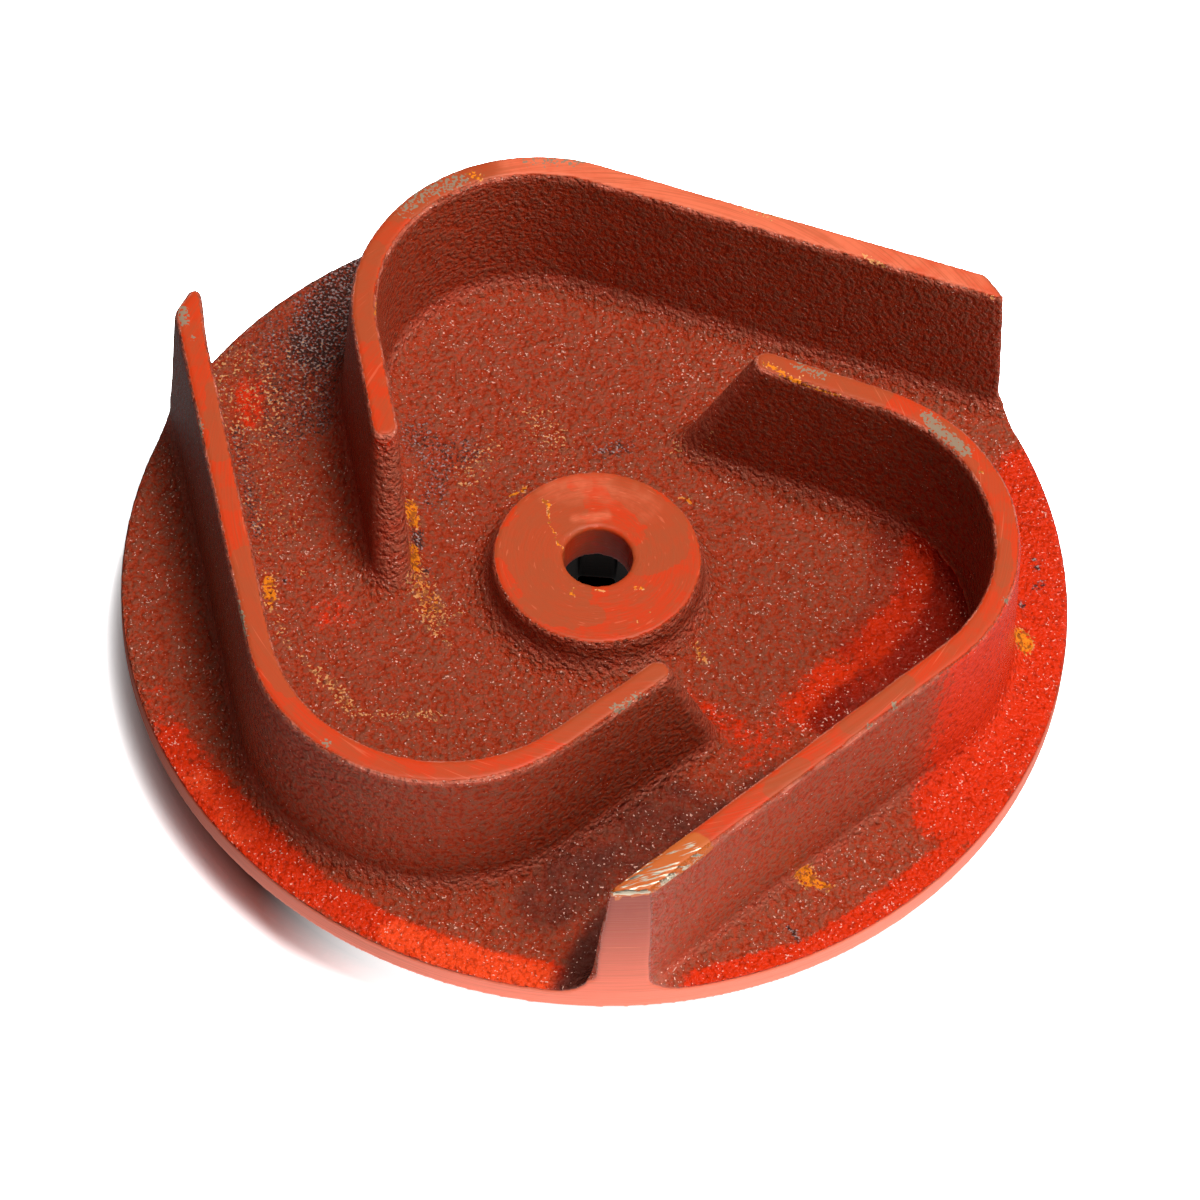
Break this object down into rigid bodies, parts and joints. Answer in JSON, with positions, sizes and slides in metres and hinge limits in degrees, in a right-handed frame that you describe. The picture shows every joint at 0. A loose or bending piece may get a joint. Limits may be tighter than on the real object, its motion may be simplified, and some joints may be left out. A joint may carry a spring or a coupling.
{
  "type": "pump impeller",
  "caption": "Semi-open centrifugal pump impeller: a cast disc with tall hooked vanes swept back to its rim, a front hub with a bolt hole and a rear hub with a keyed shaft bore.",
  "frame": {"origin": "centre of the machined face of the rear hub, on the shaft axis", "axes": "+Z along the shaft axis towards the pump's inlet; +X and +Y are fixed by the casting: the keyway opens towards +Y, and the first vane's bend lies 10.6 degrees clockwise of +X"},
  "size_m": [0.15, 0.15, 0.0444],
  "materials": {
    "painted_casting": "satin red-oxide paint over sand-cast grey iron, smooth on the turned faces, with rust spots and worn edges"
  },
  "bodies": {
    "root": {"impeller": "painted_casting"}
  },
  "joints": []
}
